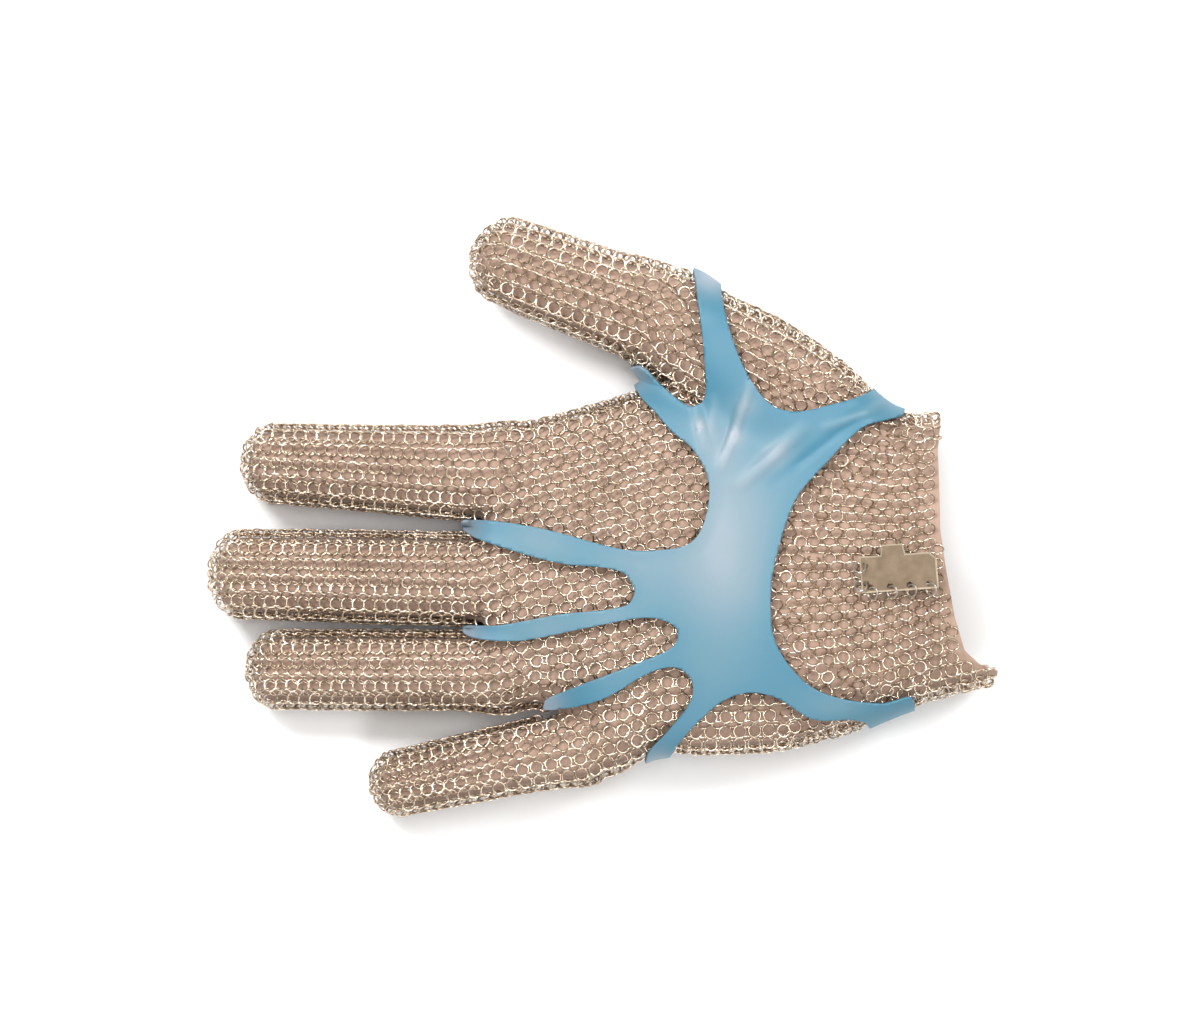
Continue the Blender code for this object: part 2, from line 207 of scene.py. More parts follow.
def spaced(outline, count):
    """Points at even distances along a closed outline, the first half a step from its start."""
    reach = lengths_along(outline)
    wanted = (np.arange(count) + 0.5) / count * reach[-1]
    return np.stack([np.interp(wanted, reach, column) for column in outline.T], 1)


class Profile:
    """Columns of a table as smooth functions of its first column."""

    def __init__(self, rows, blur):
        rows = np.array(rows, dtype=float)
        self.at = np.arange(rows[0, 0], rows[-1, 0] + PROFILE_STEP, PROFILE_STEP)
        kernel = np.hanning(4 * blur + 1)
        kernel /= kernel.sum()
        self.columns = []
        for k in range(1, rows.shape[1]):
            values = np.interp(self.at, rows[:, 0], rows[:, k])
            padded = np.pad(values, 2 * blur, mode="reflect", reflect_type="odd")
            self.columns.append(np.convolve(padded, kernel, mode="valid"))

    def __call__(self, position):
        return [np.interp(position, self.at, column) for column in self.columns]


def section_field(points, profile):
    """Distance, near the surface, to a body with superelliptic sections across X."""
    low, high, bottom, top = profile(points[:, 0])
    half_width = (high - low) / 2.0
    half_height = (top - bottom) / 2.0
    across = (points[:, 1] - (low + high) / 2.0) / half_width
    rise = points[:, 2] - (top + bottom) / 2.0
    below = rise < 0.0
    tall = np.where(below, half_height * BOTTOM_DEPTH, half_height)
    upward = rise / tall
    power = np.where(below, BOTTOM_POWER, TOP_POWER)
    u, v = np.abs(across) + 1e-6, np.abs(upward) + 1e-6
    r = (u ** power + v ** power) ** (1.0 / power)
    scale = r ** (1.0 - power)
    slope = np.hypot(scale * u ** (power - 1.0) / half_width, scale * v ** (power - 1.0) / tall)
    return (r - 1.0) / np.maximum(slope, LEAST_SLOPE)


class Finger:
    """Centre line, joints and sections of one finger."""

    def __init__(self, name):
        root, tip, middle, widths, heights, hinge, rows = FINGERS[name]
        self.name = name
        self.root = np.array(root)
        self.length = np.linalg.norm(np.array(tip) - self.root)
        self.along = unit(np.array(tip) - self.root)
        self.hinge = unit(hinge)
        self.side = unit(self.hinge - self.along * self.hinge.dot(self.along))
        self.up = np.cross(self.along, self.side)
        self.middle = middle
        self.rows = rows
        self.reach = heights[2] * TIP_ROUNDNESS
        self.shoulder = self.length - self.reach
        self.size = Profile((
            (STUB_START, widths[0] * STUB_SCALE, heights[0] * STUB_SCALE),
            (FLARE_AT, widths[0] + FINGER_FLARE, heights[0] + FINGER_FLARE * 0.5),
            (0.0, widths[0], heights[0]),
            (middle, widths[1], heights[1]),
            (self.length, widths[2], heights[2]),
        ), FINGER_BLUR)

    def local(self, points):
        """Distance along the finger, across it and above its centre line."""
        offset = points - self.root
        return offset @ self.along, offset @ self.side, offset @ self.up

    def field(self, points):
        """Signed distance, near the surface, to the outside of the finger."""
        along, across, above = self.local(points)
        wide, tall = self.size(along)
        beyond = np.maximum(along - self.shoulder, 0.0)
        behind = np.maximum(FLARE_AT - along, 0.0)
        flat = ((np.abs(across) / wide) ** FINGER_POWER
                + (np.abs(above) / tall) ** FINGER_POWER) ** (1.0 / FINGER_POWER)
        r = np.sqrt(flat ** 2 + (beyond / self.reach) ** 2 + (behind / BACK_REACH) ** 2) + 1e-6
        q = np.sqrt(across ** 2 + above ** 2 + beyond ** 2 + behind ** 2)
        return q * (1.0 - 1.0 / r) - (q < CORE_RADIUS) * CORE_DEPTH

    def loop(self, distance, count, level):
        """Evenly spaced points round the finger, from its thumb side over its back."""
        wide, tall = self.size(distance)
        outline = superellipse(wide + level, tall + level, OUTLINE_POINTS)
        across, above = spaced(outline, count).T
        centre = self.root + self.along * distance
        return centre - np.outer(across, self.side) + np.outer(above, self.up)


palm_profile = Profile([(x, low, high, FLAT_UNDERSIDE, top) for x, low, high, top in PALM_SECTIONS],
                       SECTION_BLUR)
thenar_profile = Profile(THENAR_SECTIONS, SECTION_BLUR)
fingers = {name: Finger(name) for name in FINGERS}


def palm_field(points):
    """Distance to the palm and the cuff."""
    body = section_field(points, palm_profile)
    return smooth_max(body, PALM_FRONT - points[:, 0], PALM_ROUNDING)


def thenar_field(points):
    """Distance to the ball of the thumb."""
    body = section_field(points, thenar_profile)
    body = smooth_max(body, THENAR_FRONT - points[:, 0], THENAR_ROUNDING)
    return smooth_max(body, points[:, 0] - THENAR_REAR, PALM_ROUNDING)


def glove_field(points):
    """Signed distance, near the surface, to the outside of the mail."""
    hand = smooth_min(palm_field(points), thenar_field(points), THENAR_JOIN)
    hand = smooth_max(hand, FLAT_UNDERSIDE - points[:, 2], UNDERSIDE_ROUNDING)
    digits = np.min([fingers[name].field(points) for name in LONG_FINGERS], axis=0)
    hand = smooth_min(hand, fingers["thumb"].field(points), THUMB_JOIN)
    return smooth_min(hand, digits, FINGER_JOIN)


def slope_of(field, points, step=0.25):
    """Gradient of a field."""
    slope = np.empty_like(points)
    for axis in range(3):
        shift = np.zeros(3)
        shift[axis] = step
        slope[:, axis] = (field(points + shift) - field(points - shift)) / (2.0 * step)
    return slope


def settle(points, level, rounds=8):
    """Move points along the slope of the glove's field until they lie at the level."""
    for _ in range(rounds):
        way = unit(slope_of(glove_field, points))
        change = np.clip(glove_field(points) - level, -2.0, 2.0)
        points = points - change[:, None] * way
    return points


# ---- outlines in plan

# X of the cuff's edge at a Y, from its tail to the thumb side. The photo cuts off the tail
CUFF_EDGE = (
    (-75.0, 113.6), (-43.3, 113.6), (-42.5, 109.0), (-38.0, 104.0), (-28.0, 101.0),
    (-14.0, 98.5), (-3.0, 97.0), (20.0, 97.0), (31.5, 99.0), (45.0, 96.5),
)
# How far the liner reaches past that edge, at a Y
LINER_LIP = ((-44.0, 0.6), (-37.0, 0.3), (0.0, 0.0), (30.0, -0.6))


TENSIONER_OUTLINE = (
    (-40.5, 0.2), (-40.5, -3.8), (-29.5, -8.4), (-12.3, -13.1), (5.1, -15.4), (8.9, -20.6),
    (6.5, -24.6), (-12.3, -27.0), (-30.0, -30.2), (-40.5, -30.6), (-40.5, -33.4), (-35.5, -35.1),
    (-23.6, -35.4), (-0.7, -30.9), (13.8, -28.7), (21.0, -31.6), (20.2, -36.1), (10.9, -40.6),
    (-12.3, -49.7), (-16.8, -52.0), (-16.8, -55.4), (-0.7, -52.5), (13.8, -44.4), (21.0, -42.9),
    (25.4, -46.7), (24.8, -52.5), (18.1, -61.2), (12.3, -68.4), (12.3, -80.0), (19.6, -80.0),
    (19.6, -69.0), (32.6, -54.0), (41.3, -50.2), (50.0, -51.6), (60.2, -57.7), (74.7, -58.3),
    (80.5, -64.0), (89.0, -64.0), (89.5, -51.0), (80.5, -52.6), (66.0, -50.4), (57.3, -45.5),
    (50.0, -35.1), (48.6, -23.5), (50.0, -11.9), (55.8, 5.5), (63.1, 14.2), (74.7, 25.8),
    (82.0, 28.0), (87.0, 29.6), (88.0, 34.0), (88.0, 44.0), (80.0, 44.0), (79.0, 39.0),
    (75.0, 35.9), (66.0, 33.2),
    (54.4, 31.2), (47.1, 34.5), (39.9, 46.1), (34.5, 63.8), (34.0, 78.0), (26.4, 78.0),
    (26.6, 66.0), (29.0, 45.8), (29.2, 35.0), (25.4, 32.6), (18.0, 38.4), (11.5, 44.6),
    (7.4, 43.6), (10.4, 35.4), (15.0, 30.3), (19.5, 25.0), (25.8, 19.5), (30.0, 11.3),
    (29.4, 1.2), (25.4, -6.3), (16.7, -8.5), (5.1, -8.2), (-18.1, -2.2),
)


def rounded(outline, per_span=5):
    """Closed centripetal curve through the points of an outline."""
    a, b, c, d = (np.roll(outline, shift, axis=0) for shift in (1, 0, -1, -2))
    before, span, after = (np.linalg.norm(gap, axis=1, keepdims=True) for gap in (b - a, c - b, d - c))
    start = (c - a) * span / (before + span)
    end = (d - b) * span / (after + span)
    steps = [b * (2 * t ** 3 - 3 * t ** 2 + 1) + c * (3 * t ** 2 - 2 * t ** 3)
             + start * (t ** 3 - 2 * t ** 2 + t) + end * (t ** 3 - t ** 2)
             for t in np.arange(per_span) / per_span]
    return np.stack(steps, 1).reshape(-1, 2)


def inside_distance(plan, outline):
    """Distance to the edge of a closed outline, positive inside it."""
    nearest = np.full(len(plan), 1e9)
    crossings = np.zeros(len(plan), dtype=int)
    for first, second in zip(outline, np.roll(outline, -1, axis=0)):
        edge = second - first
        offset = plan - first
        share = np.clip(offset @ edge / max(edge @ edge, 1e-9), 0.0, 1.0)
        nearest = np.minimum(nearest, np.linalg.norm(offset - np.outer(share, edge), axis=1))
        spans = (first[1] > plan[:, 1]) != (second[1] > plan[:, 1])
        rise = edge[1] if abs(edge[1]) > 1e-9 else 1e-9
        crossings += spans & (plan[:, 0] < first[0] + edge[0] * (plan[:, 1] - first[1]) / rise)
    return np.where(crossings % 2 == 1, nearest, -nearest)


tensioner_plan = rounded(TENSIONER_OUTLINE)


# ---- rows of rings

# Distance between rings of one row, along the thumb and at a place in X
THUMB_PITCH = 3.7
BALL_PITCH = 4.1
HAND_PITCH = 4.2
FINGER_PITCH = 3.2
CUFF_PITCH = 4.5
PITCH_AT = ((-130.0, FINGER_PITCH), (-42.0, FINGER_PITCH), (-20.0, HAND_PITCH),
            (55.0, HAND_PITCH), (80.0, CUFF_PITCH), (130.0, CUFF_PITCH))
FIRST_STATION = -118.0
LAST_STATION = 116.0

# X of the webs from the index to the little finger. Rows beside them end there, others run on
WEB_ROWS = 2
WEB_X = (-38.5, -38.5, -38.5, -15.0, -15.0)
WEB_MARGIN = 1.0
BLEND_LEAD = 3.0
BLEND_LENGTH = 22.0
LOOP_START = -26.0

# Before the palm's own little finger side, its rows stay this far out
LOOP_FRONT = -30.0
LITTLE_SIDE = ((-40.0, -79.0), (-10.0, -78.0), (5.0, -72.0))
LITTLE_SIDE_END = 15.0
PALM_OUTLINE_POINTS = 721

# Rows of the thumb follow this line over its ball and take the ball's size
THUMB_LINE = (
    (10.9, 60.4, 16.4), (28.3, 50.5, 17.0), (51.5, 37.4, 17.5), (72.0, 25.4, 18.0),
    (92.0, 13.5, 18.0),
)
THUMB_LINE_END = 96.0
THUMB_LINE_STEP = 0.25
TURN_LENGTH = 16.0
BALL_HALF_WIDTH = 18.5
BALL_HALF_HEIGHT = 16.0
ROW_STEP = 2.35
EXTRA_ROWS = 6

# Under the film, rows of the palm and of the thumb meet along this line
MEETING_LINE = ((8.0, 41.5), (16.0, 36.5), (24.0, 31.0), (36.0, 29.0), (52.0, 28.0),
                (66.0, 27.0), (75.0, 29.0), (83.0, 30.5), (92.0, 31.5), (93.0, 80.0))
MEETING_GAP = 1.0
CUFF_MARGIN = 1.5
RIM_PITCH = 3.0

# A ring's radius, its wire's radius, the sides of circle and wire, and its weld
RING_RADIUS = 1.8
RING_WIRE = 0.245
ROUNDS = 14
SIDES = 5
WELD_SWELL = 0.28

# Degrees by which rings tilt to the two sides by turns, and lean along their row; tables are by X
TILT = ((-45.0, 27.0), (-15.0, 27.0), (40.0, 30.0), (60.0, 40.0), (88.0, 42.0))
BALL_TILT = 44.0
BALL_BLEND = 0.3
FILM_TILT = 0.45
FINGER_LEAN = ((-45.0, 11.0), (-25.0, 6.0))
THUMB_LEAN = 9.0
RIM_LEAN = 10.0

# Random part of tilt, lean and place: in neat mail, and added where rings are bunched
TILT_SPREAD = (0.07, 0.30)
LEAN_SPREAD = (0.05, 0.26)
PLACE_SPREAD = (0.06, 0.28)
BUNCHED_FROM = 44.0
BUNCHED_RISE = 8.0
BUNCHED_WIDTH = 10.0
FILM_MARGIN = 1.0
PRESSED_RISE = 3.0


def stations():
    """X of each station along the glove, half a pitch apart."""
    result = [FIRST_STATION]
    while result[-1] < LAST_STATION:
        result.append(result[-1] + looked_up(result[-1], PITCH_AT) / 2.0)
    return np.array(result)


def section_outline(low, high, bottom, top, level, count):
    """Y and Z of a superelliptic section between its edges, its lowest and its highest point."""
    outline = superellipse((high - low) / 2.0 + level, (top - bottom) / 2.0 + level, count,
                           TOP_POWER, BOTTOM_POWER)
    return outline + ((high + low) / 2.0, (top + bottom) / 2.0)


def palm_loop(x, count):
    """Evenly spaced points round the palm at X, from the thumb side over its back."""
    low, high, bottom, top = palm_profile(max(x, LOOP_FRONT))
    low = min(low, looked_up(x, (*LITTLE_SIDE, (LITTLE_SIDE_END, low))))
    outline = section_outline(low, high, bottom, top, 0.0, PALM_OUTLINE_POINTS)
    outline[:, 1] = np.maximum(outline[:, 1], bottom)
    return np.column_stack([np.full(count, x), spaced(outline, count)])


def row_ends(name, row):
    """Whether a finger's row ends at one of its webs."""
    half = fingers[name].rows // 2
    at_far_web = half - WEB_ROWS <= row < half + WEB_ROWS
    at_thumb_web = row < WEB_ROWS or row >= 2 * half - WEB_ROWS
    return (at_far_web and name != "little") or (at_thumb_web and name != "index")


def row_plan():
    """For each finger, the palm row that each of its rows continues as, or -1 for a row that ends."""
    plan = {name: np.full(fingers[name].rows, -1) for name in LONG_FINGERS}
    halves = [(name, range(len(plan[name]) // 2)) for name in LONG_FINGERS]
    halves += [(name, range(len(plan[name]) // 2, len(plan[name])))
               for name in reversed(LONG_FINGERS)]
    count = 0
    for name, rows in halves:
        for row in rows:
            if not row_ends(name, row):
                plan[name][row] = count
                count += 1
    return plan, count


def add_rows(rings, grid, keep, flip, group, lean):
    """Centre, direction, parity, section and lean of a ring at every second station of each row."""
    ahead = np.gradient(grid, axis=1)
    row, station = np.indices(keep.shape)
    parity = (row + flip) % 2
    chosen = keep & ((station + parity) % 2 == 0)
    rings.append((grid[chosen], unit(ahead[chosen]), parity[chosen], group[chosen], lean[chosen]))


def finger_groups(finger, points, number):
    """0 in the hand, then one number for the section at the root and the next for the tip."""
    along = finger.local(points)[0]
    return np.where(along < BEND_START, 0, np.where(along < BEND_END, number, number + 1))


def dome_points(finger, arc):
    """Where rows cross a fingertip, at an arc length from its shoulder, and which are left.

    Every row runs straight on over the tip and stops at its edge, half way down.
    """
    radius = finger.reach + MAIL_LEVEL
    bend = min(arc / radius, math.pi / 2.0)
    beyond = radius * math.sin(bend)
    wide, tall = (value + MAIL_LEVEL for value in finger.size(finger.shoulder + beyond))
    loop = finger.loop(finger.shoulder, finger.rows, MAIL_LEVEL)
    across, above = finger.local(loop)[1:]
    left = math.cos(bend) ** FINGER_POWER - (np.abs(across) / wide) ** FINGER_POWER
    keep = (left > 0.0) & (arc < radius * math.pi / 2.0 + 1.0)
    height = np.maximum(left, 0.0) ** (1.0 / FINGER_POWER) * tall
    centre = finger.root + finger.along * (finger.shoulder + beyond)
    points = centre + np.outer(across, finger.side) + np.outer(np.sign(above) * height, finger.up)
    return points, keep


def add_rim(rings, finger, number):
    """One line of rings round the edge of a fingertip, where the rows of back and palm meet."""
    wide = finger.size(finger.shoulder)[0] + MAIL_LEVEL
    radius = finger.reach + MAIL_LEVEL
    count = round(math.pi * (wide + radius) / 2.0 / RIM_PITCH)
    angles = (np.arange(count) + 0.5) / count * math.pi
    points = (finger.root + np.outer(finger.shoulder + radius * np.sin(angles), finger.along)
              + np.outer(wide * np.cos(angles), finger.side))
    tangent = (np.outer(radius * np.cos(angles), finger.along)
               - np.outer(wide * np.sin(angles), finger.side))
    rings.append((settle(points, MAIL_LEVEL), unit(tangent), np.arange(count) % 2,
                  np.full(count, number + 1), np.full(count, RIM_LEAN)))


def finger_grid(finger, targets, xs, loops):
    """Places for rings on a finger and on the palm behind it, and which of them are used."""
    place = LONG_FINGERS.index(finger.name)
    thumb_side, far_side = WEB_X[place:place + 2]
    runs_on = targets >= 0
    from_far_side = np.abs(np.arange(finger.rows) + 0.5 - finger.rows // 2)
    web = np.where(from_far_side < WEB_ROWS, far_side, thumb_side)
    grid = np.empty((finger.rows, len(xs), 3))
    keep = np.zeros((finger.rows, len(xs)), dtype=bool)
    for k, x in enumerate(xs):
        distance = (x - finger.root[0]) / finger.along[0]
        if distance > finger.shoulder:
            grid[:, k], keep[:, k] = dome_points(finger, distance - finger.shoulder)
            continue
        held = max(distance, LOOP_START)
        loop = finger.loop(held, finger.rows, MAIL_LEVEL)
        loop[:, 0] += x - (finger.root + finger.along * held)[0]
        share = smoothstep((x - thumb_side + BLEND_LEAD) / BLEND_LENGTH)
        blended = loop * (1.0 - share) + loops[k, targets] * share
        grid[:, k] = np.where(runs_on[:, None], blended, loop)
        keep[:, k] = runs_on | (x < web - WEB_MARGIN)
    return settle(grid.reshape(-1, 3), MAIL_LEVEL).reshape(grid.shape), keep


def lay_rings():
    """All rings of the mail."""
    rings = []
    xs = stations()
    plan, palm_rows = row_plan()
    loops = np.array([palm_loop(x, palm_rows) for x in xs])
    for number, name in enumerate(LONG_FINGERS):
        finger = fingers[name]
        grid, keep = finger_grid(finger, plan[name], xs, loops)
        keep &= grid[..., 1] < looked_up(grid[..., 0], MEETING_LINE)
        keep &= grid[..., 0] < looked_up(grid[..., 1], CUFF_EDGE) - CUFF_MARGIN
        thumb_half = enumerate(plan[name][:finger.rows // 2])
        flip = max(target - row for row, target in thumb_half if target >= 0) % 2
        group = finger_groups(finger, grid, 2 * number + 1)
        add_rows(rings, grid, keep, flip, group, looked_up(grid[..., 0], FINGER_LEAN))
        add_rim(rings, finger, 2 * number + 1)
    add_thumb(rings, 2 * len(LONG_FINGERS) + 1)
    return [np.concatenate(column) for column in zip(*rings)]


def thumb_stations(finger):
    """Centres, directions and arc lengths of the stations from the thumb's tip to the wrist."""
    tip = finger.root + finger.along * finger.length
    line = Profile([tuple(tip), *THUMB_LINE], THUMB_LINE_BLUR)
    xs = np.arange(tip[0], THUMB_LINE_END, THUMB_LINE_STEP)
    track = np.stack([xs, *line(xs)], 1)
    reach = lengths_along(track)
    steps = [finger.reach]
    while steps[-1] < reach[-1] - 1.0:
        pitch = BALL_PITCH if steps[-1] > finger.length else THUMB_PITCH
        steps.append(steps[-1] + pitch / 2.0)
    centres = np.stack([np.interp(steps, reach, column) for column in track.T], 1)
    return centres, unit(np.gradient(centres, axis=0)), steps


def thumb_points(finger, centre, forward, step, rows):
    """Where the rows cross a station of the thumb or its ball, and which still exist there."""
    blend = smoothstep((step - finger.length) / TURN_LENGTH)
    up = unit(finger.up * (1.0 - blend) + np.array((0.0, 0.0, 1.0)) * blend)
    side = unit(np.cross(up, forward))
    up = np.cross(forward, side)
    wide, tall = finger.size(finger.length - step)
    wide = wide * (1.0 - blend) + BALL_HALF_WIDTH * blend + MAIL_LEVEL
    tall = tall * (1.0 - blend) + BALL_HALF_HEIGHT * blend + MAIL_LEVEL
    outline = superellipse(wide, tall, OUTLINE_POINTS)
    lengths = lengths_along(outline)
    row = np.arange(rows)
    row_step = min(lengths[-1] / finger.rows, ROW_STEP)
    reached = (np.minimum(row, rows - 1 - row) + 0.5) * row_step
    arc = np.where(row < rows // 2, reached, lengths[-1] - reached)
    across, above = (np.interp(arc, lengths, column) for column in outline.T)
    points = centre + np.outer(across, side) + np.outer(above, up)
    return points, reached < lengths[-1] / 2.0


def add_thumb(rings, number):
    """Rings of the thumb, whose rows run on over the ball of the thumb to the wrist."""
    finger = fingers["thumb"]
    centres, ahead, steps = thumb_stations(finger)
    dome = math.ceil(math.pi / 2.0 * finger.reach / (THUMB_PITCH / 2.0))
    half = finger.rows // 2
    rows = 2 * (half + EXTRA_ROWS)
    grid = np.empty((rows, dome + len(steps), 3))
    keep = np.zeros((rows, dome + len(steps)), dtype=bool)
    own = np.r_[:half, rows - half:rows]
    for k in range(dome):
        grid[:, k] = finger.root
        grid[own, k], keep[own, k] = dome_points(finger, (dome - k) * THUMB_PITCH / 2.0)
    for k, (centre, forward, step) in enumerate(zip(centres, ahead, steps), dome):
        grid[:, k], keep[:, k] = thumb_points(finger, centre, forward, step, rows)
    grid = settle(grid.reshape(-1, 3), MAIL_LEVEL).reshape(grid.shape)
    keep &= grid[..., 1] > looked_up(grid[..., 0], MEETING_LINE) + MEETING_GAP
    group = finger_groups(finger, grid, number)
    add_rows(rings, grid, keep, 0, group, np.full(grid.shape[:2], THUMB_LEAN))
    add_rim(rings, finger, number)


def disorder(points):
    """How far the mail is out of order, from 0 to 1: most where the film holds it bunched."""
    edge = inside_distance(points[:, :2], tensioner_plan)
    band = np.exp(-(np.maximum(-edge, 0.0) / BUNCHED_WIDTH) ** 2)
    return band * smoothstep((points[:, 0] - BUNCHED_FROM) / BUNCHED_RISE)


def pressed(points, normal):
    """How far rings lie under the film on the back, from 0 to 1."""
    depth = inside_distance(points[:, :2], tensioner_plan) - FILM_MARGIN
    return smoothstep(depth / PRESSED_RISE) * (normal[:, 2] > 0.0)


def ring_axes(centres, along, normal, parity, lean, draw):
    """Each ring's centre, two directions in its plane and its axis, after tilt, lean and disorder."""
    count = len(centres)
    beside = np.cross(normal, along)
    steep = np.radians(looked_up(centres[:, 0], TILT))
    ball = smoothstep(-thenar_field(centres) * BALL_BLEND + palm_field(centres) * BALL_BLEND)
    steep = steep + (math.radians(BALL_TILT) - steep) * ball
    under = pressed(centres, normal)
    tilt = np.where(parity == 0, steep, -steep) * (1.0 - (1.0 - FILM_TILT) * under)
    wild = disorder(centres) * (1.0 - under)
    tilt = tilt + draw.normal(0.0, 1.0, count) * (TILT_SPREAD[0] + TILT_SPREAD[1] * wild)
    lean = np.radians(lean) + draw.normal(0.0, 1.0, count) * (LEAN_SPREAD[0] + LEAN_SPREAD[1] * wild)
    shift = (PLACE_SPREAD[0] + PLACE_SPREAD[1] * wild)[:, None]
    centres = centres + draw.normal(0.0, 1.0, (count, 3)) * shift
    cos_lean, sin_lean = np.cos(lean)[:, None], np.sin(lean)[:, None]
    cos_tilt, sin_tilt = np.cos(tilt)[:, None], np.sin(tilt)[:, None]
    upright = normal * cos_lean + along * sin_lean
    first = along * cos_lean - normal * sin_lean
    second = beside * cos_tilt - upright * sin_tilt
    return centres, first, second, upright * cos_tilt + beside * sin_tilt


def ring_points(centres, first, second, axis, start):
    """Points of every ring: ROUNDS circles of SIDES points, the first circle swollen as its weld."""
    tube = np.arange(SIDES) * 2.0 * math.pi / SIDES
    angle = np.arange(ROUNDS) * 2.0 * math.pi / ROUNDS + start[:, None]
    spoke = np.cos(angle)[..., None] * first[:, None] + np.sin(angle)[..., None] * second[:, None]
    weld = 1.0 + WELD_SWELL * (np.arange(ROUNDS) == 0)
    wire = RING_WIRE * weld[:, None, None]
    points = (centres[:, None, None]
              + spoke[:, :, None] * (RING_RADIUS + wire * np.cos(tube)[:, None])
              + axis[:, None, None] * wire * np.sin(tube)[:, None])
    return points.reshape(-1, 3)


def ring_faces(count):
    """Four-sided faces of that many rings."""
    base = (np.arange(count) * ROUNDS * SIDES)[:, None, None]
    i = np.arange(ROUNDS)[None, :, None]
    j = np.arange(SIDES)[None, None, :]
    k, m = (i + 1) % ROUNDS, (j + 1) % SIDES
    corners = ((i, j), (k, j), (k, m), (i, m))
    return np.stack([base + a * SIDES + b for a, b in corners], -1).reshape(-1, 4)


def ring_mesh(name, layout, draw):
    """One mesh of closed wire rings, each with its weld and its own shade."""
    axes = ring_axes(*layout, draw)
    count = len(axes[0])
    start = draw.uniform(0.0, 2.0 * math.pi, count)
    piece = mesh_object(name, ring_points(*axes, start), ring_faces(count), steel)
    add_attribute(piece, "shade", np.repeat(draw.uniform(0.0, 1.0, count), ROUNDS * SIDES))
    return piece


# ---- meshes

# Lofts that the skins are made from: ends, steps and sides
PALM_LOFT_END = 119.0
THENAR_LOFT_START = 10.0
FINGER_LOFT_START = -20.0
LOFT_STEP = 4.0
FINGER_LOFT_STEP = 3.0
TIP_ANGLES = (0.0, 0.35, 0.7, 1.0, 1.25, 1.45)
SECTION_POINTS = 49
LOOP_POINTS = 24

def linked(name, data):
    """New object in the scene."""
    thing = bpy.data.objects.new(name, data)
    bpy.context.scene.collection.objects.link(thing)
    return thing


def mesh_object(name, points, faces, material):
    """Smooth shaded object from points in millimetres."""
    mesh = bpy.data.meshes.new(name)
    mesh.from_pydata(np.asarray(points) * MM, [], faces, shade_flat=False)
    mesh.materials.append(material)
    return linked(name, mesh)


def read_rows(items, name, kind):
    """A value of three numbers of every item in a mesh's collection."""
    values = np.empty(len(items) * 3, dtype=kind)
    items.foreach_get(name, values)
    return values.reshape(-1, 3)


def add_attribute(piece, name, values):
    """Store one number per point of a mesh."""
    layer = piece.data.attributes.new(name, "FLOAT", "POINT")
    layer.data.foreach_set("value", np.asarray(values, dtype=np.float32))


def tube_rings(rings):
    """Points and faces of a closed loft through rings of points."""
    count = len(rings[0])
    points = np.concatenate(rings)
    faces = [list(range(count))[::-1], list(range(len(points) - count, len(points)))]
    for start in range(0, len(points) - count, count):
        for i in range(count):
            j = (i + 1) % count
            faces.append([start + i, start + j, start + count + j, start + count + i])
    return points, faces


def section_ring(profile, x, level):
    """Points round the section of a body at X."""
    outline = section_outline(*profile(x), level, SECTION_POINTS)[:-1]
    return np.column_stack([np.full(len(outline), x), outline])


def finger_loft(finger, level):
    """Loops of points from inside the palm to the fingertip."""
    distances = np.arange(FINGER_LOFT_START, finger.shoulder, FINGER_LOFT_STEP)
    loops = [finger.loop(distance, LOOP_POINTS, level) for distance in distances]
    for angle in TIP_ANGLES:
        distance = finger.shoulder + (finger.reach + level) * math.sin(angle)
        loop = finger.loop(min(distance, finger.length), LOOP_POINTS, level)
        centre = finger.root + finger.along * distance
        loops.append(centre + (loop - loop.mean(0)) * math.cos(angle))
    return loops


def glove_lofts(level):
    """Mesh of overlapping closed lofts: palm, ball of the thumb and fingers."""
    lofts = []
    for profile, start, end in ((palm_profile, PALM_FRONT - level, PALM_LOFT_END),
                                (thenar_profile, THENAR_LOFT_START, THENAR_REAR)):
        lofts.append([section_ring(profile, x, level) for x in np.arange(start, end, LOFT_STEP)])
    lofts += [finger_loft(finger, level) for finger in fingers.values()]
    work = bmesh.new()
    for loft in lofts:
        points, faces = tube_rings(loft)
        verts = [work.verts.new(point) for point in points]
        for face in faces:
            work.faces.new([verts[i] for i in face])
    bmesh.ops.recalc_face_normals(work, faces=work.faces)
    mesh = bpy.data.meshes.new("skin")
    work.to_mesh(mesh)
    work.free()
    return mesh


def skin(level, voxel):
    """Triangle mesh of the whole closed glove at a level of its field."""
    mesh = glove_lofts(level)
    thing = linked("skin", mesh)
    remesh = thing.modifiers.new("remesh", "REMESH")
    remesh.mode = "VOXEL"
    remesh.voxel_size = voxel
    result = thing.evaluated_get(bpy.context.evaluated_depsgraph_get()).to_mesh()
    result.calc_loop_triangles()
    points = read_rows(result.vertices, "co", np.float32).astype(float)
    triangles = read_rows(result.loop_triangles, "vertices", np.int32)
    bpy.data.objects.remove(thing)
    bpy.data.meshes.remove(mesh)
    for _ in range(RELAX_ROUNDS):
        points = settle(relaxed(points, triangles), level)
    return points, triangles


def relaxed(points, triangles):
    """Points moved half way to the middle of their neighbours."""
    total = np.zeros_like(points)
    count = np.zeros(len(points))
    for a, b in ((0, 1), (1, 2), (2, 0)):
        np.add.at(total, triangles[:, a], points[triangles[:, b]])
        np.add.at(count, triangles[:, a], 1.0)
    return points * 0.5 + total / np.maximum(count, 1.0)[:, None] * 0.5


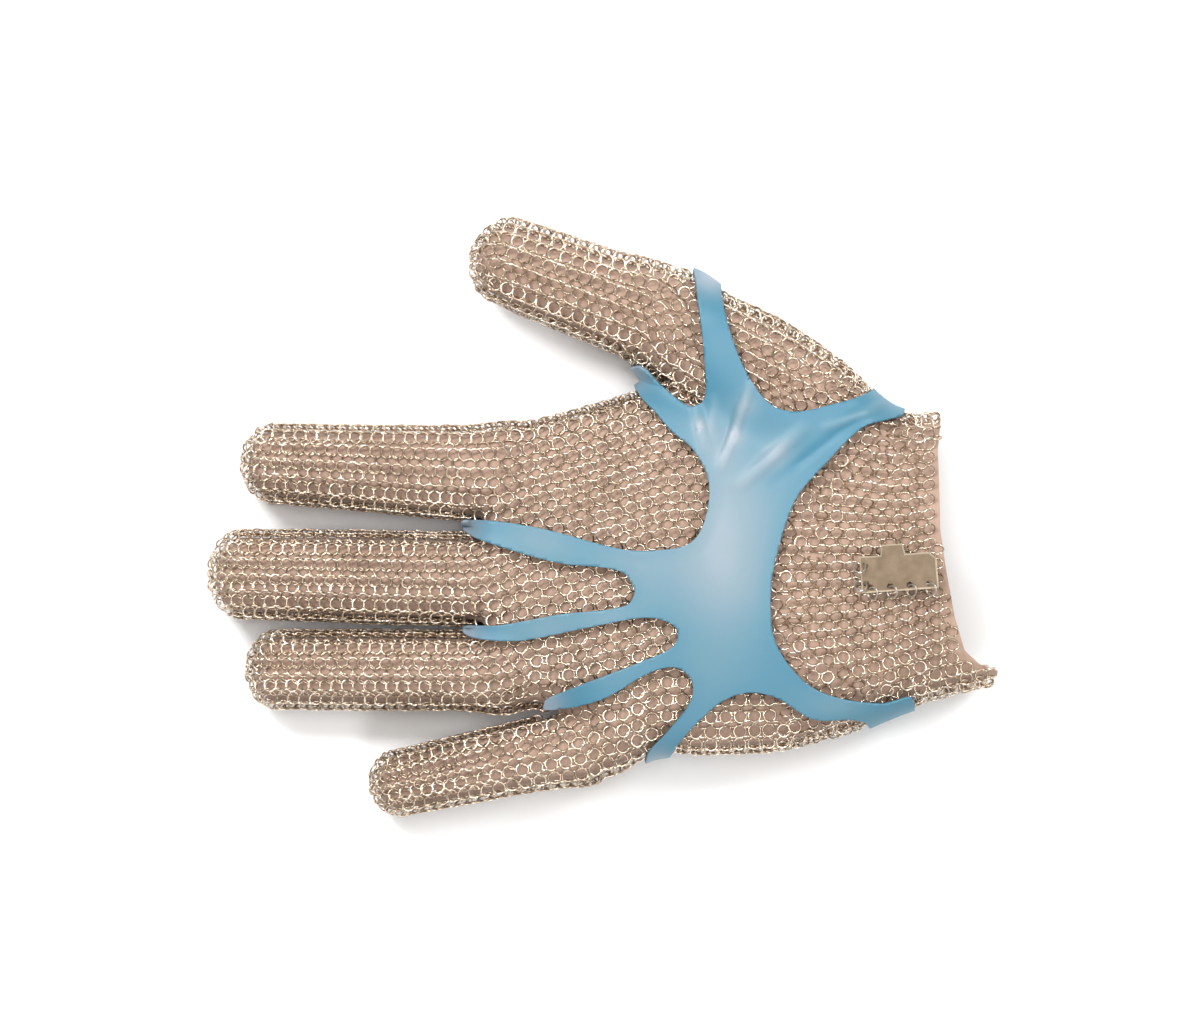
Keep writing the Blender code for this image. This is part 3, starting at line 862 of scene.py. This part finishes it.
def clip(points, triangles, value):
    """Part of a triangle mesh where the value is positive, cut cleanly along the zero line."""
    inside = value > 0.0
    count = inside[triangles].sum(1)
    kept = [triangles[count == 3]]
    edges, made = {}, []

    def cut(a, b):
        key = (min(a, b), max(a, b))
        if key not in edges:
            share = value[a] / (value[a] - value[b])
            edges[key] = len(points) + len(made)
            made.append(points[a] + (points[b] - points[a]) * share)
        return edges[key]

    for a, b, c in triangles[(count == 1) | (count == 2)]:
        while inside[a] == inside[b] or inside[a] == inside[c]:
            a, b, c = b, c, a
        ab, ac = cut(a, b), cut(a, c)
        if inside[a]:
            kept.append([(a, ab, ac)])
        else:
            kept.append([(ab, b, c), (ab, c, ac)])
    triangles = np.concatenate(kept)
    points = np.concatenate([points, np.array(made).reshape(-1, 3)])
    return part_of(points, triangles, np.full(len(triangles), True))


def part_of(points, triangles, chosen):
    """The chosen triangles with only the points that they use."""
    used, numbered = np.unique(triangles[chosen], return_inverse=True)
    return points[used], numbered.reshape(-1, 3)


def apply_modifiers(piece):
    """Replace a piece's mesh by its evaluated mesh."""
    depsgraph = bpy.context.evaluated_depsgraph_get()
    mesh = bpy.data.meshes.new_from_object(piece.evaluated_get(depsgraph))
    old = piece.data
    piece.modifiers.clear()
    piece.data = mesh
    bpy.data.meshes.remove(old)
    mesh.name = piece.name


# ---- materials

class Material:
    """Node tree builder around one Principled shader."""

    def __init__(self, name):
        self.material = bpy.data.materials.new(name)
        self.material.use_nodes = True
        self.nodes = self.material.node_tree.nodes
        self.links = self.material.node_tree.links
        self.shader = self.nodes["Principled BSDF"]

    def node(self, kind, settings=None, inputs=None, **links):
        node = self.nodes.new(kind)
        for key, value in (settings or {}).items():
            setattr(node, key, value)
        for key, value in (inputs or {}).items():
            node.inputs[key].default_value = value
        for key, socket in links.items():
            self.links.new(socket, node.inputs[key])
        return node

    def set(self, **values):
        for key, value in values.items():
            self.shader.inputs[key.replace("_", " ")].default_value = value

    def link(self, socket, name="Base Color"):
        self.links.new(socket, self.shader.inputs[name])

    def place(self):
        return self.node("ShaderNodeTexCoord").outputs["Object"]

    def noise(self, scale, detail=3.0, place=None):
        return self.node("ShaderNodeTexNoise", inputs={"Scale": scale, "Detail": detail},
                         Vector=place or self.place()).outputs["Fac"]

    def ramp(self, factor, *stops):
        node = self.node("ShaderNodeValToRGB", Fac=factor)
        ramp = node.color_ramp
        while len(ramp.elements) < len(stops):
            ramp.elements.new(0.5)
        for element, (position, colour) in zip(ramp.elements, stops):
            element.position = position
            element.color = (*colour, 1.0)
        return node.outputs["Color"]

    def drift(self, factor, low, high):
        """Colour that drifts between two with a noise."""
        return self.ramp(factor, (0.3, low), (0.7, high))

    def rough(self, factor, low, high):
        span = self.node("ShaderNodeMapRange", inputs={"To Min": low, "To Max": high}, Value=factor)
        self.link(span.outputs["Result"], "Roughness")

    def bump(self, height, distance, strength):
        node = self.node("ShaderNodeBump", inputs={"Distance": distance, "Strength": strength},
                         Height=height)
        self.link(node.outputs["Normal"], "Normal")

    def attribute(self, name):
        return self.node("ShaderNodeAttribute", {"attribute_name": name}).outputs["Fac"]

    def mix(self, factor, first, second):
        """Colour between two, each of them a socket or a fixed colour."""
        node = self.node("ShaderNodeMix", {"data_type": "RGBA"})
        self.links.new(factor, node.inputs[0])
        sockets = [socket for socket in node.inputs if socket.type == "RGBA"]
        for socket, colour in zip(sockets, (first, second)):
            if isinstance(colour, tuple):
                socket.default_value = (*colour, 1.0)
            else:
                self.links.new(colour, socket)
        return next(socket for socket in node.outputs if socket.type == "RGBA")


def ring_material():
    """Bright stainless wire with a warm tint that differs from ring to ring."""
    made = Material("mail_wire")
    made.set(Metallic=1.0)
    shade = made.attribute("shade")
    made.link(made.ramp(shade, (0.0, (0.44, 0.35, 0.26)), (0.5, (0.60, 0.49, 0.385)),
                        (1.0, (0.78, 0.68, 0.565))))
    made.rough(made.noise(900.0), 0.16, 0.32)
    made.bump(made.noise(2500.0), 0.00004, 0.5)
    return made.material


def liner_material():
    """Matt pinkish brown knit."""
    made = Material("liner_knit")
    place = made.place()
    made.set(Sheen_Weight=0.15)
    made.link(made.drift(made.noise(60.0, 4.0, place), (0.315, 0.213, 0.158), (0.405, 0.28, 0.213)))
    made.rough(made.noise(400.0, 2.0, place), 0.75, 0.95)
    made.bump(made.noise(1500.0, 2.0, place), 0.0001, 0.6)
    return made.material


def film_material():
    """Satin blue polyurethane, paler at its arm ends, lighter with painted highlights on hazy patches
    and crease ridges, and darker with painted shade in crease troughs and towards its edges.
    """
    made = Material("tensioner_polyurethane")
    cloud = made.node("ShaderNodeMath", {"operation": "MULTIPLY_ADD", "use_clamp": True}, {1: 0.16})
    made.links.new(made.noise(45.0, 4.0), cloud.inputs[0])
    # Stored film tone: painted highlights on hazy patches and crease ridges, painted shade in crease
    # troughs and near the edges
    made.links.new(made.attribute("tone_with_painted_light_and_shade"), cloud.inputs[2])
    blue = made.ramp(cloud.outputs[0], (0.1, (0.038, 0.17, 0.255)), (0.4, (0.095, 0.21, 0.275)),
                     (0.75, (0.18, 0.255, 0.305)), (1.0, (0.28, 0.33, 0.38)))
    made.link(made.mix(made.attribute("fade"), blue, (0.22, 0.28, 0.34)))
    made.rough(made.noise(90.0), 0.42, 0.55)
    made.set(Subsurface_Weight=0.1, Subsurface_Scale=0.002)
    made.bump(made.noise(1200.0, 2.0), 0.00003, 0.4)
    return made.material


# Height of the tag's raised rim and of the recess inside it, which set the painted light on the rim
# and painted shade in the recess
TAG_TOP = 38.4
TAG_RECESS = 38.2
TAG_BEVEL = 0.12


def link_material():
    """Bright steel of the rings that hold the tag."""
    made = Material("tag_link_steel")
    made.set(Metallic=1.0)
    made.link(made.drift(made.noise(300.0, 4.0), (0.66, 0.61, 0.52), (0.84, 0.80, 0.72)))
    made.rough(made.noise(1500.0), 0.25, 0.42)
    made.bump(made.noise(3000.0), 0.00003, 0.5)
    return made.material


def stamped_material():
    """Dull steel of the tag, two-toned by height as painted light and shade: the sunken middle inside
    its raised border is painted darker as shade, the border lighter.
    """
    made = Material("tag_plate_steel")
    made.set(Metallic=0.9)
    place = made.place()
    # Height picks painted light for the raised rim and painted shade for the recess inside it
    height = made.node("ShaderNodeSeparateXYZ", Vector=place).outputs["Z"]
    limits = {"From Min": TAG_RECESS * MM, "From Max": TAG_TOP * MM}
    raised = made.node("ShaderNodeMapRange", inputs=limits, Value=height).outputs["Result"]
    cloud = made.noise(300.0, 4.0, place)
    painted_shade_recess = made.drift(cloud, (0.165, 0.12, 0.08), (0.22, 0.165, 0.115))
    painted_light_rim = made.drift(cloud, (0.46, 0.38, 0.28), (0.56, 0.47, 0.35))
    made.link(made.mix(raised, painted_shade_recess, painted_light_rim))
    made.rough(made.noise(1500.0), 0.48, 0.62)
    made.bump(made.noise(3000.0), 0.00003, 0.5)
    return made.material


steel = ring_material()
knit = liner_material()
film = film_material()
plate_steel = stamped_material()
link_steel = link_material()


# ---- pieces

# Start of the cuff's pieces, the ball's border in plan, and the reach of a finger's liner
CUFF_FROM = 48.0
BALL_BORDER = ((8.0, 41.0), (92.0, 28.0))
LINER_REACH = 1.0


def sections():
    """Name, number and finger of each movable section of the glove."""
    for number, (name, finger) in enumerate(fingers.items()):
        yield f"{name}_root", 2 * number + 1, finger
        yield f"{name}_tip", 2 * number + 2, finger


def bend_piece(piece):
    """Bake a section's piece's placement into its mesh."""
    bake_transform(piece)


def build_mail():
    """Ring meshes for the hand and for each section of the fingers."""
    draw = np.random.default_rng(SEED)
    centres, along, parity, group, lean = lay_rings()
    normal = unit(slope_of(glove_field, centres))
    along = unit(along - normal * (along * normal).sum(1)[:, None])
    layout = (centres, along, normal, parity, lean)
    hand = group == 0
    upper = normal[:, 2] > 0.0
    rear = centres[:, 0] > CUFF_FROM
    ball = centres[:, 1] > looked_up(centres[:, 0], BALL_BORDER)
    regions = {f"mail_{side}_{place}": hand & facing & part & ~ball
               for side, facing in (("back", upper), ("palm", ~upper))
               for place, part in (("front", ~rear), ("cuff", rear))}
    regions["mail_thumb_ball"] = hand & ball
    for name, chosen in regions.items():
        piece = ring_mesh(name, [column[chosen] for column in layout], draw)
        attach(piece, "hand")
        if name == "mail_back_front":
            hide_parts("mail_hand")
    for part, number, finger in sections():
        chosen = group == number
        piece = ring_mesh(f"mail_{part}_rings", [column[chosen] for column in layout], draw)
        bend_piece(piece)
        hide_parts(f"mail_{part}")


def build_liner():
    """Liner in the same sections as the mail."""
    points, triangles = skin(LINER_LEVEL, LINER_VOXEL)
    edge = looked_up(points[:, 1], CUFF_EDGE) + looked_up(points[:, 1], LINER_LIP)
    points, triangles = clip(points, triangles, edge - points[:, 0])
    centres = points[triangles].mean(1)
    group = np.zeros(len(centres), dtype=int)
    fields = np.stack([finger.field(centres) for finger in fingers.values()])
    for number, finger in enumerate(fingers.values()):
        mine = (fields.argmin(0) == number) & (fields[number] < LINER_REACH)
        group = np.where(mine, finger_groups(finger, centres, 2 * number + 1), group)
    pieces = [("liner_hand_knit", 0, None, None)]
    pieces += [(f"liner_{part}_knit", number, part, finger) for part, number, finger in sections()]
    for name, number, part, finger in pieces:
        piece = mesh_object(name, *part_of(points, triangles, group == number), knit)
        if part is None:
            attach(piece, "hand")
            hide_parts("liner_hand")
        else:
            bend_piece(piece)
            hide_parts(f"liner_{part}")


# Stretch creases in the film on the back: start and end in plan, width and height
CREASES = (
    ((26.6, 34.0), (29.6, 18.5), 1.0, 0.9),
    ((31.8, 36.5), (31.8, 22.5), 1.1, 0.5),
    ((43.5, 41.0), (33.5, 13.0), 1.5, 1.2),
    ((60.0, 28.0), (38.0, 8.0), 2.0, 1.0),
    ((75.0, 30.0), (47.0, 9.0), 1.7, -0.7),
    ((38.5, 31.0), (34.5, 19.0), 1.3, -0.5),
    ((82.0, 33.0), (62.0, 25.5), 1.3, 0.9),
)
CREASE_POWER = 0.7
# Painted highlight along raised crease ridges and painted shade along creases of negative height, on
# the back only
PAINTED_CREASE_LIGHT = 0.3
MIDDLE_HEIGHT = 18.0
# Painted shade: how much the film's tone deepens at its edges, and the width over which it does
PAINTED_EDGE_SHADE = 0.25
EDGE_WIDTH = 5.0
PALE_BASE = 0.12
# Painted highlights, patches of hazy satin sheen where the film looks palest: X, Y, radius and
# strength
PAINTED_HIGHLIGHT_PATCHES = (
    (33.0, 2.0, 17.0, 0.6), (34.0, -19.0, 14.0, 0.42), (8.0, -12.0, 12.0, 0.3),
    (33.0, 22.0, 8.0, 0.35), (42.0, 33.0, 4.0, 0.35), (28.0, 27.0, 2.5, 0.35),
    (2.0, -33.0, 12.0, 0.3), (31.0, -42.0, 12.0, 0.15), (70.0, -56.0, 10.0, 0.2),
    (50.0, 19.0, 5.0, 0.3), (-18.0, -6.0, 12.0, 0.3), (-18.0, -33.0, 12.0, 0.3),
    (38.5, 24.0, 2.6, 0.35), (44.5, 39.0, 2.6, 0.25),
)
# Where the film's arms leave the back, and the reach of the paler colour there
ARM_ENDS = ((-40.0, -1.8), (-40.0, -32.5), (-16.5, -54.0), (16.0, -72.0), (30.7, 70.0),
            (8.0, 41.5))
ARM_FADE = 5.0


def crease_rise(plan):
    """Height of the creases over the smooth film."""
    rise = np.zeros(len(plan))
    for start, end, width, height in CREASES:
        start, end = np.array(start), np.array(end)
        way = end - start
        share = np.clip((plan - start) @ way / (way @ way), 0.0, 1.0)
        gap = np.linalg.norm(plan - start - np.outer(share, way), axis=1)
        height = height * np.sin(math.pi * share) ** CREASE_POWER
        rise += np.exp(-(gap / width) ** 2) * height
    return rise


def film_tone_with_painted_light_and_shade(plan, back):
    """Tone of each point of the film, lighter with painted highlights on hazy patches and crease
    ridges and darker with painted shade in crease troughs and near its edges, and how far it has faded
    at an arm's end.
    """
    tone_with_painted_light_and_shade = np.full(len(plan), PALE_BASE)
    # Painted highlights: hazy patches of satin sheen
    for x, y, radius, strength in PAINTED_HIGHLIGHT_PATCHES:
        tone_with_painted_light_and_shade += strength * np.exp(-((plan - (x, y)) ** 2).sum(1) / radius ** 2)
    # Painted highlight on crease ridges and painted shade in crease troughs, on the back only
    tone_with_painted_light_and_shade += PAINTED_CREASE_LIGHT * crease_rise(plan) * back
    edge = np.clip(inside_distance(plan, tensioner_plan) / EDGE_WIDTH, 0.0, 1.0)
    gaps = [np.linalg.norm(plan - end, axis=1) for end in ARM_ENDS]
    fade = np.exp(-(np.min(gaps, axis=0) / ARM_FADE) ** 2)
    # Painted shade deepens the tone near the film's edges
    return tone_with_painted_light_and_shade * (1.0 - PAINTED_EDGE_SHADE + PAINTED_EDGE_SHADE * edge), fade


def build_tensioner():
    """Blue film: the same star on the back and the palm, joined at its arms."""
    points, triangles = skin(FILM_LEVEL, FILM_VOXEL)
    normal = unit(slope_of(glove_field, points))
    rise = crease_rise(points[:, :2]) * (normal[:, 2] > 0.0)
    points = points + normal * rise[:, None]
    distance = inside_distance(points[:, :2], tensioner_plan) - FILM_INSET
    points, triangles = clip(points, triangles, distance)
    piece = mesh_object("tensioner_film", points, triangles, film)
    thickness = piece.modifiers.new("thickness", "SOLIDIFY")
    thickness.thickness = FILM_THICKNESS * MM
    thickness.offset = 1.0
    apply_modifiers(piece)
    place = read_rows(piece.data.vertices, "co", np.float32)
    place[:, 2] = np.maximum(place[:, 2], 0.0)
    piece.data.vertices.foreach_set("co", place.ravel())
    plan = place[:, :2].astype(float) / MM
    # Film tone with its painted highlights and painted shade, stored for the material
    tone_with_painted_light_and_shade, fade = film_tone_with_painted_light_and_shade(plan, place[:, 2] > MIDDLE_HEIGHT * MM)
    add_attribute(piece, "tone_with_painted_light_and_shade", tone_with_painted_light_and_shade)
    add_attribute(piece, "fade", fade)
    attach(piece, "hand")
    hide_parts("tensioner")


def build_tag():
    """Tag with softened edges in its own steel, and bright link rings."""
    plate = bpy.data.objects["tag_plate"]
    piece = linked("tag_plate_stamped", plate.data.copy())
    piece.matrix_world = plate.matrix_world.copy()
    bevel = piece.modifiers.new("soft edges", "BEVEL")
    bevel.width = TAG_BEVEL * MM
    bevel.segments = 2
    bevel.limit_method = "ANGLE"
    apply_modifiers(piece)
    piece.data.shade_flat()
    piece.data.materials.clear()
    piece.data.materials.append(plate_steel)
    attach(piece, "hand")
    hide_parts("tag_plate")
    for thing in bpy.data.objects:
        if thing.name.startswith("tag_link"):
            thing.material_slots[0].material = link_steel


# ---- floor, light and camera, in metres

FLOOR_SIDE = 6.0
FLOOR_DROP = 0.0002
WORLD_COLOUR = (1.0, 0.98, 0.95, 1.0)
WORLD_STRENGTH = 0.36
# Place, diameter and power of each soft light
LAMPS = (
    ((-0.5, 0.6, 1.0), 0.4, 13.5),
    ((0.65, 0.45, 0.9), 0.35, 7.0),
    ((0.1, -0.8, 0.8), 0.4, 4.0),
    ((0.0, 0.1, 1.7), 0.8, 9.5),
)
# The camera looks straight down and sees a width of the plane at half the glove's height
SENSOR = 36.0
LENS = 165.0
VIEW_CENTRE = (-0.0007, 0.0013)
VIEW_WIDTH = 0.348
VIEW_HEIGHT = 0.018


def floor_material():
    """White paper."""
    made = Material("floor_paper")
    made.set(Roughness=0.9)
    made.link(made.drift(made.noise(3.0), (0.94, 0.94, 0.94), (0.96, 0.96, 0.96)))
    return made.material


def build_floor():
    """Pale floor just under the glove."""
    corners = np.array([(-1, -1, 0), (1, -1, 0), (1, 1, 0), (-1, 1, 0)]) * (FLOOR_SIDE / 2.0)
    floor = mesh_object("floor", corners / MM, [[0, 1, 2, 3]], floor_material())
    floor.location.z = -FLOOR_DROP


def build_lights():
    """Even light from the world and four soft lights."""
    world = bpy.data.worlds.new("studio")
    world.use_nodes = True
    background = world.node_tree.nodes["Background"]
    background.inputs["Color"].default_value = WORLD_COLOUR
    background.inputs["Strength"].default_value = WORLD_STRENGTH
    bpy.context.scene.world = world
    for place, size, power in LAMPS:
        lamp = bpy.data.lights.new("softbox", "AREA")
        lamp.shape = "DISK"
        lamp.size = size
        lamp.energy = power
        thing = linked("softbox", lamp)
        thing.location = place
        thing.rotation_euler = (-Vector(place)).to_track_quat("-Z", "Y").to_euler()


def build_camera():
    """Camera straight above the back of the hand, as in the photo."""
    camera = bpy.data.cameras.new("camera")
    camera.sensor_width = SENSOR
    camera.lens = LENS
    thing = linked("camera", camera)
    thing.location = (*VIEW_CENTRE, VIEW_WIDTH * LENS / SENSOR + VIEW_HEIGHT)
    bpy.context.scene.camera = thing
    bpy.context.scene.view_settings.view_transform = "Standard"


build_mail()
build_liner()
build_tensioner()
build_tag()
build_floor()
build_lights()
build_camera()
